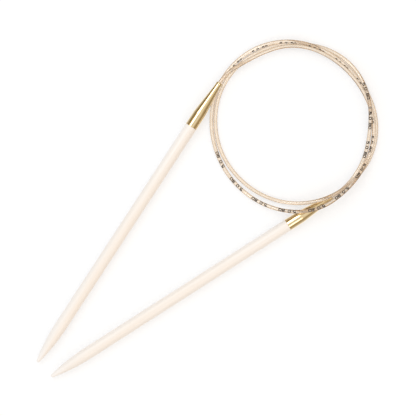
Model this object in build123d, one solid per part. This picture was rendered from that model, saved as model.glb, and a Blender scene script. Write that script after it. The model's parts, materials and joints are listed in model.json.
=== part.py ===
"""Circular knitting needle: two short wooden needles joined by one long nylon cord.

The cord lies coiled on a table in about two and a half loose turns, with the needles side by side.
+X runs to the right needle, +Y from the needle points to the coil, +Z up from the table (z = 0).
Sizes are in millimetres and angles in degrees.
"""
import math
import os

from build123d import *

# ---- Needle: a turned wooden shank with a drilled end ----
NEEDLE_D = 5.0
SHANK_LENGTH = 113.5
POINT_LENGTH = 18.0        # from the tip to the full diameter
POINT_NOSE_R = 0.75
SHANK_EDGE = 0.15          # broken edge at the end that meets the ferrule
GLUE_GAP = 0.05            # round the tang, in its bore
BORE_RELIEF = 0.5          # free depth past the tang

# ---- Ferrule: a turned brass cone with a hollow tang ----
FERRULE_LENGTH = 21.0      # from the shank's end to the mouth
FERRULE_D = 4.94           # at the shank
COLLAR_END_D = 4.86        # where the collar runs into the cone
FERRULE_COLLAR = 6.6       # nearly straight part next to the shank
CONE_END = 19.3            # where the cone runs out into the neck
CONE_START_BLEND_R = 20.0
CONE_END_BLEND_R = 14.0
NECK_WALL = 0.44
LIP_HEIGHT = 0.07          # rolled lip at the mouth
LIP_WIDTH = 0.8
TANG_D = 3.0
TANG_LENGTH = 8.0
TANG_WALL = 0.35
STOP_SHOULDER = 1.5        # how far inside the shank the cord's stop seats

# ---- Cord and the crimped stop on each of its ends ----
CORD_D = 1.5
CORD_BORE_GAP = 0.03       # round the cord, in the ferrule's neck
STOP_LENGTH = 5.0
STOP_GAP = 0.05            # round the stop, in the tang
CRIMP_GAP = 0.02
CORD_STUB = 0.3            # cord that shows past its stop
LAYER_GAP = 0.15           # between strands that lie on each other

# ---- How the needle lies ----
TIP_SPREAD = 8.1           # between the axes of the two points
MOUTH_BEARING = 105.8      # of both mouths round the coil's centre, from +Y
MOUTH_RADIUS = 33.5
MOUTH_SHIFT = -0.35        # of both mouths, towards the left needle
COIL_SHIFT = 0.8           # of the coil's centre, towards the right needle
REST_GAP = 0.35            # under the left ferrule's mouth, above the strand below it
CROSSING_GAP = 0.3         # above the right ferrule, below the strand that crosses it
CROSSING_AT = 9.5          # where that strand crosses, from the shank's end
LEAD_OUT = 4.6             # straight cord at each mouth
LEAD_POINTS = 3            # of the coil's points, in each lead
COIL_STEPS = 59

NEEDLE_R = NEEDLE_D / 2
CORD_R = CORD_D / 2
NECK_R = CORD_R + CORD_BORE_GAP + NECK_WALL
LAYER = CORD_D + LAYER_GAP
NEEDLE_LENGTH = SHANK_LENGTH + FERRULE_LENGTH
CORD_INSIDE = STOP_SHOULDER + STOP_LENGTH + CORD_STUB

MOUTH_X = MOUTH_RADIUS * math.sin(math.radians(MOUTH_BEARING))
SPLAY = math.asin((MOUTH_X - TIP_SPREAD / 2) / NEEDLE_LENGTH)
MOUTH_Y = NEEDLE_LENGTH * math.cos(SPLAY) / 2
COIL_Y = MOUTH_Y - MOUTH_RADIUS * math.cos(math.radians(MOUTH_BEARING))
MOUTH_Z = {"left": CORD_D + REST_GAP + NECK_R + LIP_HEIGHT, "right": NEEDLE_R}


def ferrule_radius(along):
    """Outer radius of the cone, that far from the shank's end."""
    share = (along - FERRULE_COLLAR) / (CONE_END - FERRULE_COLLAR)
    return COLLAR_END_D / 2 + (NECK_R - COLLAR_END_D / 2) * min(max(share, 0), 1)


# Height of the strands over the right ferrule, in layers above the table.
HUMP = (MOUTH_Z["right"] + ferrule_radius(CROSSING_AT) + CROSSING_GAP) / LAYER

# The coil, from the left needle to the right one: bearing from +Y, clockwise seen from above and
# counted on through the turns, radius, and height in layers.
COIL_STATIONS = [
    (278, 32.4, 1.2),
    (285, 31.95, 1.15),
    (296, 32.05, 1.1),
    (307, 32.2, 1.1),
    (317, 32.35, 1.2),
    (330, 31.9, 1.5),
    (343, 31.3, 1.3),
    (357, 31.0, 1.15),
    (370, 31.05, 1.05),
    (380, 31.3, 1.0),
    (390, 31.8, 1.0),
    (400, 32.25, 1.0),
    (412, 32.5, 1.0),
    (428, 32.6, 0.43 * HUMP),
    (443, 32.85, 0.7 * HUMP),
    (458, 33.5, 0.92 * HUMP),
    (467, 34.1, 0.98 * HUMP),
    (479, 34.75, 1.05 * HUMP),
    (493, 34.6, 1.02 * HUMP),
    (505, 34.15, 0.8 * HUMP),
    (520, 33.6, 0.38 * HUMP),
    (535, 33.05, 0.08 * HUMP),
    (550, 32.85, 0),
    (565, 32.8, 0),
    (585, 33.15, 0),
    (598, 33.7, 0),
    (616, 34.55, 0),
    (630, 34.8, 0),
    (645, 35.1, 0.15),
    (657, 34.85, 0.6),
    (667, 34.5, 0.85),
    (675, 34.15, 1.0),
    (687, 33.4, 1.05),
    (700, 32.65, 0.7),
    (715, 32.3, 0.1),
    (735, 32.45, 0),
    (745, 32.9, 0),
    (755, 33.3, 0),
    (767, 33.5, 0),
    (782, 33.45, 0),
    (790, 33.2, 0.05 * HUMP),
    (805, 32.5, 0.36 * HUMP),
    (820, 32.1, 0.78 * HUMP),
    (835, 31.7, 0.87 * HUMP),
    (850, 31.2, 0.36 * HUMP),
    (865, 30.8, 0.06 * HUMP),
    (885, 30.4, 0),
    (905, 30.4, 0),
    (925, 30.95, 0),
    (945, 31.5, 0),
    (965, 32.4, 0),
    (980, 33.05, 0),
    (992, 33.2, 0),
    (1005, 33.45, 0),
    (1030, 33.4, 0),
    (1045, 33.55, 0),
    (1057, 33.95, 0),
    (1070, 34.1, 0.4),
    (1078, 33.95, 0.9),
    (1087, 33.45, 1.5),
    (1097, 32.65, 2.1),
    (1107, 32.05, 2.15),
    (1116, 31.2, 2.0),
    (1127, 30.7, 1.2),
    (1136, 30.6, 0.5),
    (1151, 31.1, 0),
    (1161, 31.65, 0),
    (1166, 31.8, 0),
]


def station(bearing):
    """Radius and height in layers at a bearing, on a smooth curve through COIL_STATIONS."""
    last = len(COIL_STATIONS) - 1
    i = max(n for n in range(last) if n == 0 or COIL_STATIONS[n][0] <= bearing)
    start, end = COIL_STATIONS[i], COIL_STATIONS[i + 1]
    span = end[0] - start[0]
    t = (bearing - start[0]) / span

    def value(k):
        def slope(n):
            before, after = COIL_STATIONS[max(n - 1, 0)], COIL_STATIONS[min(n + 1, last)]
            return (after[k] - before[k]) / (after[0] - before[0]) * span

        rise = start[k] * (2 * t**3 - 3 * t**2 + 1) + end[k] * (3 * t**2 - 2 * t**3)
        return rise + slope(i) * (t**3 - 2 * t**2 + t) + slope(i + 1) * (t**3 - t**2)

    return value(1), max(value(2), 0)


def coil_points():
    """The coil's route points, evenly spaced round its turns."""
    first, last = COIL_STATIONS[0][0], COIL_STATIONS[-1][0]
    step = (last - first) / COIL_STEPS
    spread = 1 / math.cos(math.radians(step / 2))   # the cord runs inside its corners
    points = []
    for n in range(COIL_STEPS + 1):
        bearing = first + n * step
        radius, layers = station(bearing)
        angle = math.radians(bearing)
        points.append(
            Vector(
                COIL_SHIFT + radius * spread * math.sin(angle),
                COIL_Y + radius * spread * math.cos(angle),
                CORD_R + layers * LAYER,
            )
        )
    return points


def needle_axis(side):
    """Mouth of the ferrule and the direction from the point to it."""
    sign = -1 if side == "left" else 1
    mouth = Vector(sign * MOUTH_X + MOUTH_SHIFT, MOUTH_Y, MOUTH_Z[side])
    tip = Vector(sign * TIP_SPREAD / 2, -MOUTH_Y, NEEDLE_R)
    return mouth, (mouth - tip).normalized()


def needle_frame(side):
    """Where a needle's own axis lies: z = 0 at the joint of shank and ferrule, +z to the mouth."""
    mouth, direction = needle_axis(side)
    return Location(Plane(origin=mouth - direction * FERRULE_LENGTH, z_dir=direction))


def turned(lines):
    """Solid of revolution about Z from lines drawn as (radius, z)."""
    return revolve(Plane.XZ * make_face(lines), Axis.Z)


def make_shank():
    """Wooden needle: rounded nose, long curved point, straight shank and a bore for the tang."""
    tip_z = -SHANK_LENGTH
    full_z = tip_z + POINT_LENGTH
    reach = POINT_LENGTH - POINT_NOSE_R
    curve_r = (reach**2 + NEEDLE_R**2 - POINT_NOSE_R**2) / (2 * (NEEDLE_R - POINT_NOSE_R))
    nose_share = POINT_NOSE_R / (curve_r - POINT_NOSE_R)
    nose_end = (nose_share * (curve_r - NEEDLE_R), tip_z + POINT_NOSE_R - nose_share * reach)
    bore_r = TANG_D / 2 + GLUE_GAP
    bore_z = -(TANG_LENGTH + BORE_RELIEF)
    lines = [
        TangentArc((0, tip_z), nose_end, tangent=(1, 0)),
        TangentArc((NEEDLE_R, full_z), nose_end, tangent=(0, -1)),
        Polyline(
            (NEEDLE_R, full_z),
            (NEEDLE_R, -SHANK_EDGE),
            (NEEDLE_R - SHANK_EDGE, 0),
            (bore_r, 0),
            (bore_r, bore_z),
            (0, bore_z),
            (0, tip_z),
        ),
    ]
    return turned(lines)


def make_ferrule():
    """Brass cone with a rolled lip at its mouth, a tang for the shank and a stepped bore."""
    collar_r = FERRULE_D / 2
    lip_z = FERRULE_LENGTH - LIP_WIDTH
    bore_r = CORD_R + CORD_BORE_GAP
    chamber_r = TANG_D / 2 - TANG_WALL
    outside = FilletPolyline(
        (collar_r, 0),
        (COLLAR_END_D / 2, FERRULE_COLLAR),
        (NECK_R, CONE_END),
        (NECK_R, lip_z),
        radius=[CONE_START_BLEND_R, CONE_END_BLEND_R],
    )
    lip = ThreePointArc(
        (NECK_R, lip_z), (NECK_R + LIP_HEIGHT, lip_z + LIP_WIDTH / 2), (NECK_R, FERRULE_LENGTH)
    )
    inside = Polyline(
        (NECK_R, FERRULE_LENGTH),
        (bore_r, FERRULE_LENGTH),
        (bore_r, -STOP_SHOULDER),
        (chamber_r, -STOP_SHOULDER),
        (chamber_r, -TANG_LENGTH),
        (TANG_D / 2, -TANG_LENGTH),
        (TANG_D / 2, 0),
        (collar_r, 0),
    )
    return turned([outside, lip, inside])


def make_stop():
    """Crimped sleeve that keeps the cord's end inside the ferrule."""
    outer = TANG_D / 2 - TANG_WALL - STOP_GAP
    sleeve = Cylinder(outer, STOP_LENGTH) - Cylinder(CORD_R + CRIMP_GAP, STOP_LENGTH)
    return Pos(0, 0, -STOP_SHOULDER - STOP_LENGTH / 2) * sleeve


def make_cord_end():
    """The straight cord inside the ferrule, from behind its stop to the mouth."""
    length = CORD_INSIDE + FERRULE_LENGTH
    return Pos(0, 0, FERRULE_LENGTH - length / 2) * Cylinder(CORD_R, length)


def make_cord(name, points):
    """Cord through the points: straight runs joined by the largest arcs that fit."""
    radii = []
    for before, corner, after in zip(points, points[1:], points[2:]):
        run_in, run_out = corner - before, after - corner
        turn = math.radians(run_in.get_angle(run_out))
        radii.append(0.45 * min(run_in.length, run_out.length) / math.tan(turn / 2))
    path = FilletPolyline(*points, radius=radii)
    section = Plane(origin=path @ 0, z_dir=path % 0) * Circle(CORD_R)
    cord = sweep(section, path=path)
    tube_volume = math.pi * CORD_R**2 * path.length
    print(f"{name}: {path.length:.1f} mm, {len(radii)} arcs of {min(radii):.1f} mm or more")
    print(f"  radii {' '.join(f'{r:.0f}' for r in radii)}")
    print(f"  volume {cord.volume:.1f} mm3, section times length {tube_volume:.1f} mm3")
    return cord


def make_cords():
    """The free cord as two leads and the coil between them, which meet end to end."""
    points = coil_points()
    left_mouth, left_direction = needle_axis("left")
    right_mouth, right_direction = needle_axis("right")
    left_split = (points[LEAD_POINTS - 1] + points[LEAD_POINTS]) / 2
    right_split = (points[-LEAD_POINTS] + points[-LEAD_POINTS - 1]) / 2
    left_lead = [left_mouth, left_mouth + left_direction * LEAD_OUT, *points[:LEAD_POINTS]]
    right_lead = [*points[-LEAD_POINTS:], right_mouth + right_direction * LEAD_OUT, right_mouth]
    return {
        "cord_lead_left": make_cord("left lead", [*left_lead, left_split]),
        "cord_coil": make_cord(
            "coil", [left_split, *points[LEAD_POINTS:-LEAD_POINTS], right_split]
        ),
        "cord_lead_right": make_cord("right lead", [right_split, *right_lead]),
    }


def make_parts():
    parts = make_cords()
    for side in ("left", "right"):
        place = needle_frame(side)
        parts[f"{side}_shank"] = place * make_shank()
        parts[f"{side}_ferrule"] = place * make_ferrule()
        parts[f"{side}_cord_stop"] = place * make_stop()
        parts[f"cord_end_{side}"] = place * make_cord_end()
    return parts


os.makedirs("parts", exist_ok=True)
for name, part in make_parts().items():
    export_step(part, f"parts/{name}.step")
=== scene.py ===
"""Circular knitting needle, dressed: waxed wooden shanks, polished ferrules and a clear nylon cord
with plain figures printed along it.

Lengths are in metres. +X runs to the right needle, +Y from the points to the coil, +Z up.
"""
import json
import math

import bpy
from mathutils import Matrix, Vector


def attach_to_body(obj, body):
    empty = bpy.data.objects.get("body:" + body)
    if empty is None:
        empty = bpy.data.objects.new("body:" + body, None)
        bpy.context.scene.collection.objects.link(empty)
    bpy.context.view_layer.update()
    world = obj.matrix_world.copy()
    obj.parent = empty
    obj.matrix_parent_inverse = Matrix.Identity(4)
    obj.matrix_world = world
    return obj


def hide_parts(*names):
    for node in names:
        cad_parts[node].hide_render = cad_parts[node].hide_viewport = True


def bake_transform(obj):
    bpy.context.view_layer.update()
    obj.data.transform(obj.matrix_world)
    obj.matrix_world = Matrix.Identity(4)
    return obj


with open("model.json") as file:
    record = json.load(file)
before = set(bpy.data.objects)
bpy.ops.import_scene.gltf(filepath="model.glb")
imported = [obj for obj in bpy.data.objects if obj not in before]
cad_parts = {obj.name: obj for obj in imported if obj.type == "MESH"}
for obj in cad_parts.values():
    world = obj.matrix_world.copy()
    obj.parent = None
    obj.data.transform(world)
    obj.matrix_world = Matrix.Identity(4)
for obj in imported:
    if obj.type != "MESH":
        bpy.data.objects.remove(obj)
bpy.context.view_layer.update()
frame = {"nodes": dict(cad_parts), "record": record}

MM = 0.001
SIDES = ("left", "right")
UP = (0, 0, 1)
BLACK = (0, 0, 0)
WHITE = (1, 1, 1)

# ---- Sizes shared with the solids ----
SHANK_EDGE = 0.15 * MM
NEEDLE_R = 2.5 * MM
FERRULE_LENGTH = 21 * MM
COLLAR_END_D = 4.86 * MM
FERRULE_COLLAR = 6.6 * MM
CONE_END = 19.3 * MM
NECK_WALL = 0.44 * MM
CORD_D = 1.5 * MM
CORD_R = CORD_D / 2
CORD_BORE_GAP = 0.03 * MM
LAYER = CORD_D + 0.15 * MM

# ---- The cord's route, within 0.4 mm of the solids' ----
MOUTH_BEARING = 105.8
MOUTH_RADIUS = 33.5 * MM
COIL_SHIFT = 0.8 * MM
CROSSING_GAP = 0.3 * MM
CROSSING_AT = 9.5 * MM
LEAD_OUT = 4.6 * MM
LEAD_POINTS = 3
COIL_STEPS = 59

# The hump is the height, in layers, of a strand that lies across the right ferrule.
CONE_SHARE = (CROSSING_AT - FERRULE_COLLAR) / (CONE_END - FERRULE_COLLAR)
NECK_R = CORD_R + CORD_BORE_GAP + NECK_WALL
CROSSING_R = COLLAR_END_D / 2 + (NECK_R - COLLAR_END_D / 2) * CONE_SHARE
HUMP = (NEEDLE_R + CROSSING_R + CROSSING_GAP) / LAYER

# Bearing in degrees from +Y, clockwise seen from above and counted on through the turns, radius,
# and height in layers.
COIL_STATIONS = [
    (278, 0.0322, 1.2),
    (285, 0.0319, 1.15),
    (293, 0.03195, 1.1),
    (308, 0.0324, 1.1),
    (317, 0.0324, 1.25),
    (330, 0.0319, 1.5),
    (343, 0.0313, 1.3),
    (357, 0.031, 1.15),
    (370, 0.03105, 1.05),
    (380, 0.0313, 1.0),
    (390, 0.0318, 1.0),
    (400, 0.03225, 1.0),
    (412, 0.0325, 1.0),
    (428, 0.0326, 0.43 * HUMP),
    (443, 0.0328, 0.72 * HUMP),
    (458, 0.0333, 0.99 * HUMP),
    (467, 0.034, 1.02 * HUMP),
    (479, 0.03475, 1.05 * HUMP),
    (493, 0.0346, 1.02 * HUMP),
    (505, 0.03415, 0.8 * HUMP),
    (520, 0.0336, 0.38 * HUMP),
    (535, 0.03305, 0.08 * HUMP),
    (550, 0.03285, 0),
    (565, 0.0328, 0),
    (585, 0.03315, 0),
    (598, 0.0337, 0),
    (616, 0.03455, 0),
    (630, 0.0348, 0),
    (645, 0.0351, 0.15),
    (657, 0.03485, 0.6),
    (667, 0.0345, 0.85),
    (675, 0.03415, 1.0),
    (687, 0.0334, 1.05),
    (700, 0.03265, 0.7),
    (715, 0.0323, 0.1),
    (735, 0.03245, 0),
    (745, 0.0329, 0),
    (755, 0.0333, 0),
    (767, 0.03355, 0),
    (782, 0.0336, 0),
    (790, 0.0334, 0.05 * HUMP),
    (805, 0.03255, 0.36 * HUMP),
    (820, 0.0321, 0.78 * HUMP),
    (835, 0.0317, 0.87 * HUMP),
    (850, 0.0312, 0.36 * HUMP),
    (865, 0.0308, 0.06 * HUMP),
    (885, 0.0304, 0),
    (905, 0.0304, 0),
    (925, 0.03095, 0),
    (945, 0.0315, 0),
    (965, 0.0324, 0),
    (980, 0.033, 0),
    (992, 0.033, 0),
    (1005, 0.0333, 0),
    (1030, 0.0334, 0),
    (1045, 0.03355, 0),
    (1057, 0.03395, 0),
    (1070, 0.0341, 0.4),
    (1078, 0.03395, 0.9),
    (1087, 0.03345, 1.5),
    (1097, 0.03265, 2.1),
    (1107, 0.03195, 2.15),
    (1116, 0.03105, 2.0),
    (1127, 0.0306, 1.2),
    (1136, 0.0306, 0.5),
    (1151, 0.0313, 0),
    (1161, 0.03175, 0),
    (1166, 0.0318, 0),
]
LINE_STEPS = 12     # points read from the cord's curve for each of its control points
TUBE_SIDES = 24

# ---- The figures on the cord ----
FIGURES = "5.0 80"
# A figure's strokes are drawn in a box 0.6 wide and 1 high. A length of 1 there becomes this much.
FIGURE_HEIGHT = 1.15 * MM
FIGURE_WIDTH = 1.7 * MM
FIGURE_PITCH = 1.35 * MM                # from one figure to the next
FIGURE_ADVANCE = {".": 0.5, " ": 0.8}   # in pitches, where it isn't one
ROW_SPACING = 12 * MM
# Stretches in mm from the left mouth, and how far the figures on each lean to the inside.
PRINTED = ((76, 187, 25), (214, 292, 48), (482, 514, 35))
STROKE_WIDTH = 0.34 * MM
STROKE_STEP = 0.13 * MM
INK_THICKNESS = 0.03 * MM
# The cord is a little twisted, so its rows sway from side to side along it.
SWAY = math.radians(30)
SWAY_LENGTH = 175 * MM
SWAY_MOST_AT = 150 * MM                 # from the left mouth

# ---- Finishes: grain as noise, colours by their place on a ramp, and the shader's own values ----
WOOD_FIBRES = {"stretch": (1, 1, 0.035), "scale": 2600, "detail": 4, "roughness": 0.6}
WOOD_BANDS = {"stretch": (1, 1, 0.02), "scale": 520}
FIBRES_SHARE = 0.45         # of the grain; the bands have the rest
WOOD_COLOURS = [
    (0.3, (0.875, 0.81, 0.735)),
    (0.5, (0.89, 0.85, 0.80)),
    (0.72, (0.905, 0.89, 0.87)),
]
WOOD_RELIEF = {"Strength": 0.25, "Distance": 0.02 * MM}
WOOD_FINISH = {
    "Roughness": 0.42,
    "Specular IOR Level": 0.6,
    "Coat Weight": 0.6,
    "Coat Roughness": 0.4,
    "Coat IOR": 1.55,
}

TURNING_RINGS = {"stretch": (0.02, 0.02, 1), "scale": 9000}
BRASS_COLOURS = [(0.3, (0.92, 0.72, 0.41)), (0.7, (0.95, 0.77, 0.48))]
BRASS_RELIEF = {"Strength": 0.06, "Distance": 0.01 * MM}
POLISHED = 0.09             # roughness of each finish
CRIMPED = 0.3

CORD_CLOUDS = {"stretch": (1, 1, 1), "scale": 400}
CORD_COLOURS = [(0.35, (0.88, 0.75, 0.60)), (0.65, (0.93, 0.81, 0.67))]
# Painted shade: the cord's colour turns darker towards its rims as they turn away from the eye,
# standing in for the longer way light goes through the nylon at the sides.
CORD_PAINTED_RIM_STOPS = [(0.06, BLACK), (0.45, WHITE)]
CORD_PAINTED_RIM_COLOUR = (0.56, 0.37, 0.21)
CORD_FINISH = {
    "Roughness": 0.05,
    "IOR": 1.53,
    "Transmission Weight": 0.75,
    "Specular IOR Level": 1.0,
    "Coat Weight": 1.0,
    "Coat Roughness": 0.15,
    "Coat IOR": 1.6,
}

INK_WEAR = {"stretch": (1, 1, 1), "scale": 3000}
INK_COLOURS = [(0.35, (0.035, 0.025, 0.02)), (0.7, (0.09, 0.065, 0.05))]
INK_FINISH = {"Roughness": 0.5}

# ---- View ----
VIEW_TURN = 45.4            # of the camera about the vertical, in degrees
VIEW_CENTRE = Vector((0.03, 27.04, 2.5)) * MM
VIEW_WIDTH = 167.9 * MM
LENS = 200
SENSOR = 36
NEAREST_SEEN = 10 * MM

# ---- Floor, room and lamps ----
FLOOR_SIDE = 4
FLOOR_FINISH = {"Base Color": (0.87, 0.885, 0.9, 1), "Roughness": 1, "Specular IOR Level": 0}
FLOOR_WHITE = 1.13          # how white the bare floor looks
SHADOW_SHARE = 0.5          # of the floor's look that real light makes
# How white the floor looks in polished metal and through the cord, at two distances each.
WHITE_IN_METAL = ((4.5 * MM, 1.2), (8 * MM, 0.1))
WHITE_THROUGH_CORD = ((1.5 * MM, 1.25), (5 * MM, 0.8))

# The room's colours as it lights the pieces, by height.
ROOM = [(0.0, (0.90, 0.88, 0.86)), (0.35, (0.91, 0.92, 0.94))]
WARM_SIDE = (0.6, 0.8, 0)
WARM_COLOUR = (1.0, 0.72, 0.45)
WARMTH = 0.9
# As polished metal mirrors it, from its dark side to its lit one.
LIT_SIDE = (0.15, -0.3, 1)
MIRRORED_ROOM = [
    (0.05, (0.09, 0.065, 0.035)),
    (0.22, (0.36, 0.28, 0.175)),
    (0.58, (0.41, 0.34, 0.235)),
    (0.70, (0.53, 0.48, 0.40)),
    (0.83, (0.76, 0.73, 0.68)),
    (0.92, (0.84, 0.84, 0.85)),
    (1.0, (0.71, 0.72, 0.75)),
]
# And as it shows through the cord, by height.
REFRACTED_ROOM = [(0.0, (0.30, 0.22, 0.14)), (0.6, (1.0, 0.98, 0.95))]

# Place from the view's centre, size, power in watts and colour.
SOFTBOXES = {
    "key_softbox": ((-0.36, 0.05, 0.6), (0.22, 0.4), 0.85, WHITE),
    "fill_softbox": ((0.45, -0.12, 0.6), (0.25, 0.2), 0.4, (1.0, 0.88, 0.74)),
}


# ---------------------------------------------------------------- helpers
def placed(name, data):
    """A new object in the scene."""
    made = bpy.data.objects.new(name, data)
    bpy.context.scene.collection.objects.link(made)
    return made


def add_node(tree, kind, inputs=None, **settings):
    """A node with its settings, and each input linked to a socket or given a value."""
    made = tree.nodes.new(kind)
    for name, value in settings.items():
        setattr(made, name, value)
    for key, value in (inputs or {}).items():
        if isinstance(value, bpy.types.NodeSocket):
            tree.links.new(value, made.inputs[key])
        else:
            made.inputs[key].default_value = value
    return made


def maths(tree, operation, *values, **settings):
    inputs = dict(enumerate(values))
    made = add_node(tree, "ShaderNodeMath", inputs, operation=operation, **settings)
    return made.outputs[0]


def vector_maths(tree, operation, *values):
    made = add_node(tree, "ShaderNodeVectorMath", dict(enumerate(values)), operation=operation)
    return made.outputs[0]


def scaled(tree, vector, factor):
    made = add_node(
        tree, "ShaderNodeVectorMath", {0: vector, "Scale": factor}, operation="SCALE"
    )
    return made.outputs[0]


def share_towards(tree, direction, side):
    """How much of a direction points to a side: their dot product."""
    made = add_node(
        tree, "ShaderNodeVectorMath", {0: direction, 1: side}, operation="DOT_PRODUCT"
    )
    return made.outputs["Value"]


def ramp(tree, factor, stops):
    made = add_node(tree, "ShaderNodeValToRGB", {"Fac": factor})
    elements = made.color_ramp.elements
    while len(elements) < len(stops):
        elements.new(0.5)
    for element, (place, colour) in zip(elements, stops):
        element.position = place
        element.color = (*colour, 1)
    return made.outputs["Color"]


def mixed_colour(tree, factor, first, second):
    """From a first colour, which is a socket, to a second, which is one or a plain colour."""
    if not isinstance(second, bpy.types.NodeSocket):
        second = (*second, 1)
    # A Mix node's colours are its sockets 6 and 7, and come out at 2.
    made = add_node(tree, "ShaderNodeMix", {0: factor, 6: first, 7: second}, data_type="RGBA")
    return made.outputs[2]


# ---------------------------------------------------------------- camera
def make_camera():
    camera = bpy.data.cameras.new("camera")
    camera.lens = LENS
    camera.sensor_width = SENSOR
    camera.clip_start = NEAREST_SEEN
    holder = placed("camera", camera)
    holder.location = VIEW_CENTRE + Vector((0, 0, VIEW_WIDTH * LENS / SENSOR))
    holder.rotation_euler = (0, 0, math.radians(VIEW_TURN))
    bpy.context.scene.camera = holder


# ---------------------------------------------------------------- the cord's route
def needle_axis(side):
    """Mouth of the ferrule and the direction from the point to it, from the shank's mount."""
    mount = next(m for m in frame["record"]["mounts"] if m["name"] == f"{side}_shank_outside")
    direction = -Vector(mount["axis"]).normalized()
    to_joint = mount["dims"]["length_mm"] * MM / 2 + SHANK_EDGE
    return Vector(mount["pos_m"]) + direction * (to_joint + FERRULE_LENGTH), direction


def station(bearing):
    """Radius and height in layers at a bearing, on a smooth curve through COIL_STATIONS."""
    last = len(COIL_STATIONS) - 1
    i = max(n for n in range(last) if n == 0 or COIL_STATIONS[n][0] <= bearing)
    start, end = COIL_STATIONS[i], COIL_STATIONS[i + 1]
    span = end[0] - start[0]
    t = (bearing - start[0]) / span

    def value(k):
        def slope(n):
            before, after = COIL_STATIONS[max(n - 1, 0)], COIL_STATIONS[min(n + 1, last)]
            return (after[k] - before[k]) / (after[0] - before[0]) * span

        rise = start[k] * (2 * t**3 - 3 * t**2 + 1) + end[k] * (3 * t**2 - 2 * t**3)
        return rise + slope(i) * (t**3 - 2 * t**2 + t) + slope(i + 1) * (t**3 - t**2)

    return value(1), max(value(2), 0)


def coil_points():
    """The coil's control points, evenly spaced round its turns."""
    mouth, _ = needle_axis("right")
    coil_y = mouth.y - MOUTH_RADIUS * math.cos(math.radians(MOUTH_BEARING))
    first, last = COIL_STATIONS[0][0], COIL_STATIONS[-1][0]
    step = (last - first) / COIL_STEPS
    spread = 1 / math.cos(math.radians(step / 2))   # the cord runs inside its corners
    points = []
    for n in range(COIL_STEPS + 1):
        bearing = first + n * step
        radius, layers = station(bearing)
        x = COIL_SHIFT + radius * spread * math.sin(math.radians(bearing))
        y = coil_y + radius * spread * math.cos(math.radians(bearing))
        points.append(Vector((x, y, CORD_R + layers * LAYER)))
    return points


def route_line(controls):
    """Points along the one smooth curve that the cord follows from mouth to mouth."""
    curve = bpy.data.curves.new("cord_route", "CURVE")
    curve.dimensions = "3D"
    curve.resolution_u = LINE_STEPS
    spline = curve.splines.new("NURBS")
    spline.points.add(len(controls) - 1)
    for point, control in zip(spline.points, controls):
        point.co = (*control, 1)
    spline.order_u = 3
    spline.use_endpoint_u = True
    holder = placed("cord_route", curve)
    sampled = bpy.data.meshes.new_from_object(holder)
    line = [v.co.copy() for v in sampled.vertices]
    bpy.data.objects.remove(holder)
    return line


def cord_sections():
    """The route's line cut where the leads meet the coil: name to points."""
    coil = coil_points()
    left_mouth, left_direction = needle_axis("left")
    right_mouth, right_direction = needle_axis("right")
    line = route_line(
        [
            left_mouth,
            left_mouth + left_direction * LEAD_OUT,
            *coil,
            right_mouth + right_direction * LEAD_OUT,
            right_mouth,
        ]
    )

    def nearest(first, second, indices):
        """The line's point nearest to the middle between two control points."""
        return min(indices, key=lambda i: (line[i] - (first + second) / 2).length)

    # Each cut is in the line's first or last quarter, and turns between them come as near.
    quarter = len(line) // 4
    left_cut = nearest(coil[LEAD_POINTS - 1], coil[LEAD_POINTS], range(quarter))
    right_cut = nearest(
        coil[-LEAD_POINTS], coil[-LEAD_POINTS - 1], range(len(line) - quarter, len(line))
    )
    return {
        "lead_left": line[: left_cut + 1],
        "coil": line[left_cut : right_cut + 1],
        "lead_right": line[right_cut:],
    }


def length_of(points):
    return sum((b - a).length for a, b in zip(points, points[1:]))


# ---------------------------------------------------------------- materials
def new_material(name):
    """A material, its tree and its Principled shader."""
    material = bpy.data.materials.new(name)
    material.use_nodes = True
    tree = material.node_tree
    return material, tree, tree.nodes["Principled BSDF"]


def set_finish(shader, finish):
    """Gives the shader's sockets their values, by name."""
    for name, value in finish.items():
        shader.inputs[name].default_value = value


def relief(tree, shader, height, amounts):
    bump = add_node(tree, "ShaderNodeBump", {"Height": height, **amounts})
    tree.links.new(bump.outputs[0], shader.inputs["Normal"])


def object_place(tree):
    return add_node(tree, "ShaderNodeTexCoord").outputs["Object"]


def place_along(tree, side):
    """Object coordinates turned so that Z runs along one needle from its joint to its mouth."""
    mouth, direction = needle_axis(side)
    joint = mouth - direction * FERRULE_LENGTH
    turn = direction.to_track_quat("Z", "Y").to_matrix().to_4x4()
    to_needle = (Matrix.Translation(joint) @ turn).inverted()
    return add_node(
        tree,
        "ShaderNodeMapping",
        {
            "Vector": object_place(tree),
            "Location": to_needle.translation,
            "Rotation": to_needle.to_euler(),
        },
        vector_type="POINT",
    ).outputs[0]


def noise(tree, place, stretch, scale, detail=2.0, roughness=0.5):
    """Noise at a place, which is first multiplied by stretch."""
    made = add_node(
        tree,
        "ShaderNodeTexNoise",
        {
            "Vector": vector_maths(tree, "MULTIPLY", place, stretch),
            "Scale": scale,
            "Detail": detail,
            "Roughness": roughness,
        },
    )
    return made.outputs[0]


def wood_material(side):
    """Pale close-grained wood, waxed: fine fibres and wider bands along the shank."""
    material, tree, shader = new_material(f"shank_wood_{side}")
    along = place_along(tree, side)
    fibres = noise(tree, along, **WOOD_FIBRES)
    bands = maths(tree, "MULTIPLY", noise(tree, along, **WOOD_BANDS), 1 - FIBRES_SHARE)
    grain = maths(tree, "MULTIPLY_ADD", fibres, FIBRES_SHARE, bands)
    tree.links.new(ramp(tree, grain, WOOD_COLOURS), shader.inputs["Base Color"])
    relief(tree, shader, fibres, WOOD_RELIEF)
    set_finish(shader, WOOD_FINISH)
    return material


def brass_material(name, side, roughness):
    """Gold-coloured brass with the faint rings of its turning."""
    material, tree, shader = new_material(name)
    rings = noise(tree, place_along(tree, side), **TURNING_RINGS)
    tree.links.new(ramp(tree, rings, BRASS_COLOURS), shader.inputs["Base Color"])
    relief(tree, shader, rings, BRASS_RELIEF)
    set_finish(shader, {"Metallic": 1, "Roughness": roughness})
    return material


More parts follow.
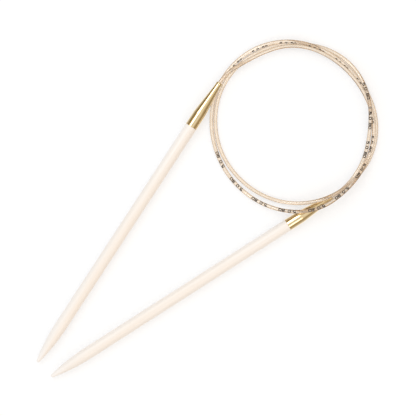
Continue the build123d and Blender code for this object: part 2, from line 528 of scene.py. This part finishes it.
def cord_material():
    """Clear champagne nylon, with painted shade that darkens its rims as they turn from the eye.
    """
    material, tree, shader = new_material("cord_nylon")
    clouds = noise(tree, object_place(tree), **CORD_CLOUDS)
    facing_off = add_node(tree, "ShaderNodeLayerWeight").outputs["Facing"]
    # Painted shade: how far the colour darkens towards the rims, by how much the surface faces
    # away from the eye.
    painted_rim_shade = ramp(tree, facing_off, CORD_PAINTED_RIM_STOPS)
    colour = mixed_colour(tree, painted_rim_shade, ramp(tree, clouds, CORD_COLOURS), CORD_PAINTED_RIM_COLOUR)
    tree.links.new(colour, shader.inputs["Base Color"])
    set_finish(shader, CORD_FINISH)
    return material


def ink_material():
    """Dark ink, unevenly worn."""
    material, tree, shader = new_material("cord_ink")
    wear = noise(tree, object_place(tree), **INK_WEAR)
    tree.links.new(ramp(tree, wear, INK_COLOURS), shader.inputs["Base Color"])
    set_finish(shader, INK_FINISH)
    return material


# ---------------------------------------------------------------- geometry trees
def new_tree(name, inputs):
    """A geometry tree with named inputs; returns it with its given sockets."""
    tree = bpy.data.node_groups.new(name, "GeometryNodeTree")
    sides = tree.interface
    sides.new_socket("Geometry", in_out="INPUT", socket_type="NodeSocketGeometry")
    for label, kind, value in inputs:
        socket = sides.new_socket(label, in_out="INPUT", socket_type=f"NodeSocket{kind}")
        if value is not None:
            socket.default_value = value
    sides.new_socket("Geometry", in_out="OUTPUT", socket_type="NodeSocketGeometry")
    return tree, tree.nodes.new("NodeGroupInput").outputs


def end_tree(tree, given, geometry):
    """Makes any instances real, sets the material and hands the geometry out."""
    real = add_node(tree, "GeometryNodeRealizeInstances", {"Geometry": geometry})
    coloured = add_node(
        tree,
        "GeometryNodeSetMaterial",
        {"Geometry": real.outputs[0], "Material": given["Material"]},
    )
    output = tree.nodes.new("NodeGroupOutput")
    tree.links.new(coloured.outputs[0], output.inputs[0])


def baked(name, mesh, tree, values):
    """The tree's result on a mesh, as a plain mesh object."""
    source = placed(name + "_source", mesh)
    modifier = source.modifiers.new(name, "NODES")
    modifier.node_group = tree
    for item in tree.interface.items_tree:
        if item.in_out == "INPUT" and item.name in values:
            modifier[item.identifier] = values[item.name]
    result = bpy.data.meshes.new_from_object(
        source.evaluated_get(bpy.context.evaluated_depsgraph_get())
    )
    bpy.data.objects.remove(source)
    return placed(name, result)


def line_mesh(points):
    mesh = bpy.data.meshes.new("line")
    mesh.from_pydata(points, [(i, i + 1) for i in range(len(points) - 1)], [])
    return mesh


def swept(tree, curve, profile):
    """A profile drawn along a curve, with its ends closed."""
    return add_node(
        tree,
        "GeometryNodeCurveToMesh",
        {"Curve": curve, "Profile Curve": profile, "Fill Caps": True},
    ).outputs[0]


def tube_tree():
    """A round tube with closed ends along a line of edges."""
    tree, given = new_tree(
        "cord_tube",
        [
            ("Radius", "Float", CORD_R),
            ("Sides", "Int", TUBE_SIDES),
            ("Material", "Material", None),
        ],
    )
    line = add_node(tree, "GeometryNodeMeshToCurve", {"Mesh": given["Geometry"]})
    section = add_node(
        tree,
        "GeometryNodeCurvePrimitiveCircle",
        {"Resolution": given["Sides"], "Radius": given["Radius"]},
    )
    tube = swept(tree, line.outputs[0], section.outputs[0])
    smooth = add_node(tree, "GeometryNodeSetShadeSmooth", {"Geometry": tube})
    end_tree(tree, given, smooth.outputs[0])
    return tree


def flat_rows(tree, given):
    """The strokes of one row of figures with their ink, repeated along X."""
    strokes = add_node(tree, "GeometryNodeMeshToCurve", {"Mesh": given["Geometry"]})
    even = add_node(
        tree,
        "GeometryNodeResampleCurve",
        {"Curve": strokes.outputs[0], "Length": given["Stroke Step"]},
        mode="LENGTH",
    )
    level = add_node(
        tree, "GeometryNodeSetCurveNormal", {"Curve": even.outputs[0]}, mode="Z_UP"
    )
    nib = add_node(
        tree,
        "GeometryNodeCurvePrimitiveQuadrilateral",
        {"Width": given["Stroke"], "Height": given["Thickness"]},
    )
    inked = swept(tree, level.outputs[0], nib.outputs[0])
    begin = add_node(tree, "ShaderNodeCombineXYZ", {"X": given["Start"]}).outputs[0]
    step = add_node(tree, "ShaderNodeCombineXYZ", {"X": given["Spacing"]}).outputs[0]
    places = add_node(
        tree,
        "GeometryNodeMeshLine",
        {"Count": given["Count"], "Start Location": begin, "Offset": step},
    )
    repeated = add_node(
        tree,
        "GeometryNodeInstanceOnPoints",
        {"Points": places.outputs[0], "Instance": inked},
    )
    real = add_node(tree, "GeometryNodeRealizeInstances", {"Geometry": repeated.outputs[0]})
    return real.outputs[0]


def wrapped(tree, given, rows):
    """Rows bent round a cord: X runs along it from its start, Y round it from its top."""
    flat = add_node(tree, "GeometryNodeInputPosition").outputs[0]
    along, across, above = add_node(tree, "ShaderNodeSeparateXYZ", {0: flat}).outputs
    cord = add_node(tree, "GeometryNodeObjectInfo", {"Object": given["Cord"]})
    line = add_node(tree, "GeometryNodeMeshToCurve", {"Mesh": cord.outputs["Geometry"]})
    sample = add_node(
        tree,
        "GeometryNodeSampleCurve",
        {"Curves": line.outputs[0], "Length": along},
        mode="LENGTH",
    ).outputs
    level = vector_maths(tree, "CROSS_PRODUCT", sample["Tangent"], UP)
    right = vector_maths(tree, "NORMALIZE", level)
    up = vector_maths(tree, "CROSS_PRODUCT", right, sample["Tangent"])

    from_mouth = maths(tree, "ADD", along, given["Passed"])
    swayed = maths(tree, "SUBTRACT", from_mouth, given["Sway Most At"])
    turns = maths(tree, "DIVIDE", swayed, given["Sway Length"])
    wave = maths(tree, "COSINE", maths(tree, "MULTIPLY", turns, 2 * math.pi))
    roll = maths(tree, "MULTIPLY_ADD", wave, given["Sway"], given["Lean"])
    angle = maths(tree, "ADD", maths(tree, "DIVIDE", across, given["Radius"]), roll)

    reach = maths(tree, "ADD", above, given["Radius"])
    raised = scaled(tree, up, maths(tree, "MULTIPLY", reach, maths(tree, "COSINE", angle)))
    aside = scaled(tree, right, maths(tree, "MULTIPLY", reach, maths(tree, "SINE", angle)))
    off_axis = vector_maths(tree, "SUBTRACT", raised, aside)
    position = vector_maths(tree, "ADD", sample["Position"], off_axis)
    moved = add_node(tree, "GeometryNodeSetPosition", {"Geometry": rows, "Position": position})
    return moved.outputs[0]


def figures_tree():
    """Strokes of figures, repeated along a cord and wrapped round it as thin raised ink."""
    tree, given = new_tree(
        "cord_figures",
        [
            ("Cord", "Object", None),
            ("Count", "Int", 1),
            ("Start", "Float", 0.0),
            ("Spacing", "Float", ROW_SPACING),
            ("Passed", "Float", 0.0),
            ("Stroke", "Float", STROKE_WIDTH),
            ("Stroke Step", "Float", STROKE_STEP),
            ("Thickness", "Float", INK_THICKNESS),
            ("Radius", "Float", CORD_R),
            ("Lean", "Float", 0.0),
            ("Sway", "Float", SWAY),
            ("Sway Length", "Float", SWAY_LENGTH),
            ("Sway Most At", "Float", SWAY_MOST_AT),
            ("Material", "Material", None),
        ],
    )
    end_tree(tree, given, wrapped(tree, given, flat_rows(tree, given)))
    return tree


# ---------------------------------------------------------------- the figures on the cord
def ellipse_stroke(centre, half, steps=12):
    turn = [2 * math.pi * n / steps for n in range(steps + 1)]
    return [(centre[0] + half[0] * math.sin(t), centre[1] + half[1] * math.cos(t)) for t in turn]


# Strokes by figure, from the centre of its box.
FIGURE_STROKES = {
    "0": [ellipse_stroke((0, 0), (0.3, 0.5))],
    "8": [ellipse_stroke((0, 0.25), (0.25, 0.25)), ellipse_stroke((0, -0.24), (0.3, 0.26))],
    "5": [
        [
            (0.26, 0.5),
            (-0.24, 0.5),
            (-0.27, 0.04),
            (-0.02, 0.14),
            (0.2, 0.06),
            (0.3, -0.16),
            (0.2, -0.4),
            (-0.03, -0.5),
            (-0.28, -0.4),
        ]
    ],
    ".": [[(-0.05, -0.45), (0.05, -0.45)]],
    " ": [],
}


def figure_advance(figure):
    return FIGURE_ADVANCE.get(figure, 1) * FIGURE_PITCH


def figures_mesh():
    """One row of the figures as edges along their strokes, from x = 0."""
    points, edges, begin = [], [], 0
    for figure in FIGURES:
        centre = begin + figure_advance(figure) / 2
        begin += figure_advance(figure)
        for stroke in FIGURE_STROKES[figure]:
            edges += [(len(points) + n, len(points) + n + 1) for n in range(len(stroke) - 1)]
            points += [(centre + x * FIGURE_WIDTH, y * FIGURE_HEIGHT, 0) for x, y in stroke]
    mesh = bpy.data.meshes.new("figures")
    mesh.from_pydata(points, edges, [])
    return mesh


def printed_rows(passed, length):
    """Place of the first row, number of rows and lean, for each printed stretch on a section.

    The section is length long and begins at passed from the left mouth.
    """
    row = sum(figure_advance(figure) for figure in FIGURES)
    found = []
    for start, end, lean in PRINTED:
        start, end = start * MM, end * MM
        skipped = max(0, math.ceil((passed - start) / ROW_SPACING))
        first = start + skipped * ROW_SPACING - passed
        last = min(end - passed, length) - row
        count = math.floor((last - first) / ROW_SPACING) + 1
        if count > 0:
            found.append((first, count, math.radians(-lean)))
    return found


# ---------------------------------------------------------------- the cord
CORD_BODIES = {
    "lead_left": ("left_needle", "cord"),
    "coil": ("cord",),
    "lead_right": ("cord", "right_needle"),
}


def attach(piece, section):
    """A piece of the coil rides with the coil's body, and a lead's piece keeps its place, with its
    transform applied to its mesh.
    """
    bodies = CORD_BODIES[section]
    if len(bodies) == 1:
        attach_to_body(piece, bodies[0])
    else:
        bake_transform(piece)


def printed_figures(section, points, passed, tree, ink):
    """The figures on one section, which begins at passed from the left mouth."""
    line = placed("cord_line", line_mesh(points))
    pieces = []
    for number, (first, count, lean) in enumerate(printed_rows(passed, length_of(points)), 1):
        values = {"Cord": line, "Count": count, "Start": first, "Passed": passed, "Lean": lean}
        piece = baked(
            f"{section}_figures_{number}", figures_mesh(), tree, {**values, "Material": ink}
        )
        attach(piece, section)
        pieces.append(piece)
    bpy.data.objects.remove(line)
    return pieces


def make_cord(nylon, ink):
    tubes, figures = tube_tree(), figures_tree()
    passed = 0
    for section, points in cord_sections().items():
        piece = baked(f"{section}_tube", line_mesh(points), tubes, {"Material": nylon})
        attach(piece, section)
        printed = printed_figures(section, points, passed, figures, ink)
        passed += length_of(points)
        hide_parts(f"cord_{section}")


# ---------------------------------------------------------------- the rigid pieces
def paint(node, material):
    """Gives a solid its finish."""
    solid = frame["nodes"][node]
    solid.data.materials.clear()
    solid.data.materials.append(material)


def paint_needle(side, nylon):
    ferrule = brass_material(f"ferrule_gold_{side}", side, POLISHED)
    crimp = brass_material(f"crimp_brass_{side}", side, CRIMPED)
    paint(f"{side}_shank", wood_material(side))
    paint(f"{side}_ferrule", ferrule)
    paint(f"{side}_cord_stop", crimp)
    paint(f"cord_end_{side}", nylon)


# ---------------------------------------------------------------- floor, room and lamps
def ray_kinds(tree):
    """1 or 0 for a ray straight from the eye, one mirrored by a piece, and one through it."""
    path = add_node(tree, "ShaderNodeLightPath").outputs
    through = path["Is Transmission Ray"]
    mirrored = maths(tree, "GREATER_THAN", path["Is Glossy Ray"], through)
    return path["Is Camera Ray"], mirrored, through


def make_floor():
    """A white floor that keeps the shadows, and is darker where a piece shows it from afar."""
    bpy.ops.mesh.primitive_plane_add(size=FLOOR_SIDE)
    floor = bpy.context.object
    floor.name = "floor"
    material, tree, shader = new_material("floor_white")
    set_finish(shader, FLOOR_FINISH)
    straight, mirrored, through = ray_kinds(tree)
    reach = add_node(tree, "ShaderNodeLightPath").outputs["Ray Length"]
    white = FLOOR_WHITE
    for kind, (near, far) in ((mirrored, WHITE_IN_METAL), (through, WHITE_THROUGH_CORD)):
        limits = {"From Min": near[0], "From Max": far[0], "To Min": near[1], "To Max": far[1]}
        seen_at = add_node(tree, "ShaderNodeMapRange", {"Value": reach, **limits}).outputs[0]
        change = maths(tree, "SUBTRACT", seen_at, FLOOR_WHITE)
        white = maths(tree, "MULTIPLY_ADD", kind, change, white)
    glow = add_node(tree, "ShaderNodeEmission", {"Color": (*WHITE, 1), "Strength": white})
    seen = maths(tree, "MULTIPLY", maths(tree, "ADD", straight, mirrored), 1 - SHADOW_SHARE)
    share = maths(tree, "MAXIMUM", seen, through)
    mix = add_node(
        tree, "ShaderNodeMixShader", {0: share, 1: shader.outputs[0], 2: glow.outputs[0]}
    )
    tree.links.new(mix.outputs[0], tree.nodes["Material Output"].inputs["Surface"])
    floor.data.materials.append(material)


def make_world():
    """A studio room that is plain white to the eye.

    It lights the pieces nearly evenly with a warm side, and is darker at the horizon where metal
    mirrors it or the cord shows it.
    """
    world = bpy.data.worlds.new("studio")
    bpy.context.scene.world = world
    world.use_nodes = True
    tree = world.node_tree
    direction = add_node(tree, "ShaderNodeTexCoord").outputs["Generated"]
    height = share_towards(tree, direction, UP)
    warm_side = share_towards(tree, direction, WARM_SIDE)
    warmth = maths(tree, "MULTIPLY", warm_side, WARMTH, use_clamp=True)
    room = mixed_colour(tree, warmth, ramp(tree, height, ROOM), WARM_COLOUR)
    mirrored = ramp(tree, share_towards(tree, direction, LIT_SIDE), MIRRORED_ROOM)
    refracted = ramp(tree, height, REFRACTED_ROOM)
    straight, reflected, through = ray_kinds(tree)
    studio = mixed_colour(tree, reflected, room, mirrored)
    studio = mixed_colour(tree, through, studio, refracted)
    colour = mixed_colour(tree, straight, studio, WHITE)
    tree.links.new(colour, tree.nodes["Background"].inputs["Color"])


def make_softbox(name, place, size, power, colour):
    lamp = bpy.data.lights.new(name, "AREA")
    lamp.shape = "RECTANGLE"
    lamp.size, lamp.size_y = size
    lamp.energy = power
    lamp.color = colour
    holder = placed(name, lamp)
    holder.location = VIEW_CENTRE + Vector(place)
    holder.rotation_euler = Vector(place).to_track_quat("Z", "Y").to_euler()


# ---------------------------------------------------------------- the whole
nylon = cord_material()
make_cord(nylon, ink_material())
for side in SIDES:
    paint_needle(side, nylon)

make_floor()
make_world()
for name, box in SOFTBOXES.items():
    make_softbox(name, *box)
make_camera()
bpy.context.scene.view_settings.view_transform = "Standard"
